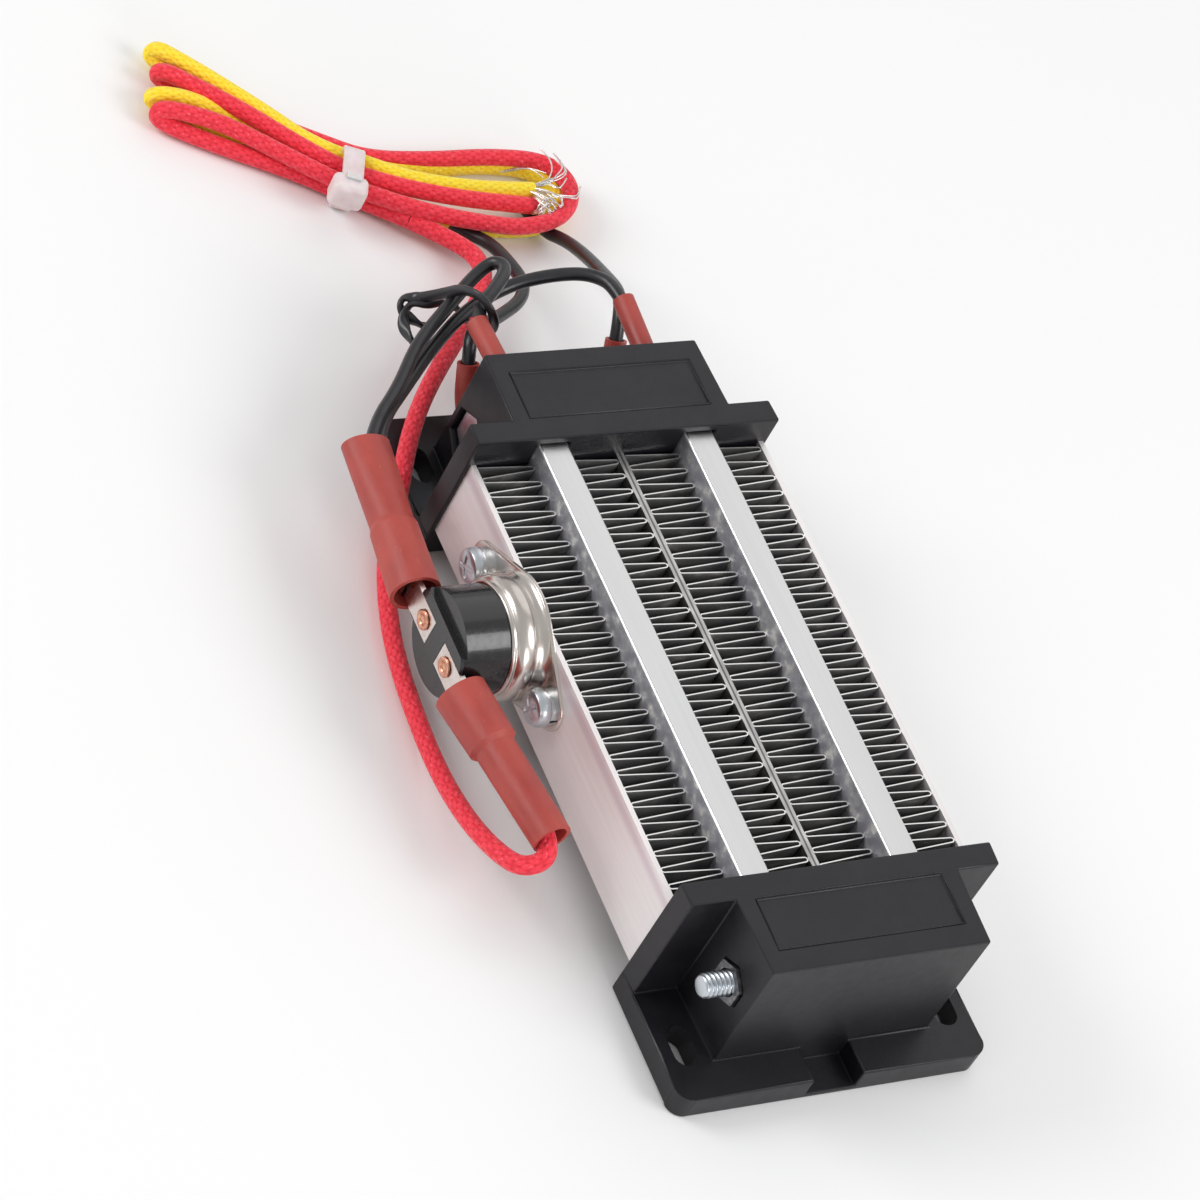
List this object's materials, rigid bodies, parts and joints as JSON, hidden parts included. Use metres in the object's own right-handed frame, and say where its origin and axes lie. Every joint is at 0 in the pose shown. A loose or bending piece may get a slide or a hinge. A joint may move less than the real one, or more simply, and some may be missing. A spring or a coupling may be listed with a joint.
{
  "type": "ptc air heater element",
  "caption": "Finned ceramic air heater element with end frames, slotted feet, a thermal cutout on one side and tied wire leads.",
  "frame": {"origin": "centre between the four foot slots, on the plane of the foot backs", "axes": "+X along the element, away from the leads; +Y away from the thermal cutout; +Z out of the front face"},
  "size_m": [0.1892, 0.0678, 0.0245],
  "materials": {
    "frame_plastic": "satin moulded",
    "side_plate_metal": "satin",
    "fin_metal": "bright rolled strip",
    "tube_metal": "mottled satin",
    "film": "polyimide film",
    "contact_metal": "plated strip",
    "ceramic": "sintered ceramic",
    "zinc_steel": "bright zinc",
    "dark_zinc": "dark zinc",
    "nickel_plate": "warm nickel plate",
    "black_body": "glossy phenolic",
    "copper": "copper",
    "red_silicone": "soft silicone",
    "red_braid": "glass fibre braid",
    "yellow_red_braid": "glass fibre braid, yellow and red",
    "black_insulation": "soft sheen",
    "tie_nylon": "natural nylon"
  },
  "bodies": {
    "root": {"end_frame_plain": "frame_plastic", "end_frame_wire": "frame_plastic", "side_plate_cutout": "side_plate_metal", "side_plate_plain": "side_plate_metal", "divider_plate_1": "fin_metal", "divider_plate_2": "fin_metal", "fin_row_1": "fin_metal", "fin_row_2": "fin_metal", "fin_row_3": "fin_metal", "fin_row_4": "fin_metal", "heater_tube_1": "tube_metal", "heater_tube_2": "tube_metal", "tube_film_1": "film", "tube_film_2": "film", "electrode_front_1": "contact_metal", "electrode_back_1": "contact_metal", "electrode_front_2": "contact_metal", "electrode_back_2": "contact_metal", "cutout_terminal_upper": "contact_metal", "cutout_terminal_lower": "contact_metal", "receptacle_upper": "contact_metal", "receptacle_lower": "contact_metal", "cutout_arm": "contact_metal", "ceramic_chips_1": "ceramic", "ceramic_chips_2": "ceramic", "cutout_pin": "ceramic", "clamp_bolt_plain": "zinc_steel", "clamp_bolt_wire": "zinc_steel", "cutout_screws": "zinc_steel", "cutout_spring_washers": "zinc_steel", "clamp_nut_plain": "dark_zinc", "clamp_nut_wire": "dark_zinc", "cutout_flange": "nickel_plate", "cutout_cup": "nickel_plate", "cutout_disc": "nickel_plate", "cutout_body": "black_body", "cutout_rivets": "copper", "plug_sleeve_upper": "red_silicone", "plug_sleeve_lower": "red_silicone", "lead_sleeve_front_1": "red_silicone", "lead_sleeve_back_1": "red_silicone", "lead_sleeve_front_2": "red_silicone", "lead_sleeve_back_2": "red_silicone", "red_lead": "red_braid", "lead_hank": "yellow_red_braid", "black_lead_1": "black_insulation", "black_lead_2": "black_insulation", "black_lead_3": "black_insulation", "black_lead_4": "black_insulation", "twist_tie": "black_insulation", "cable_tie": "tie_nylon"}
  },
  "joints": []
}
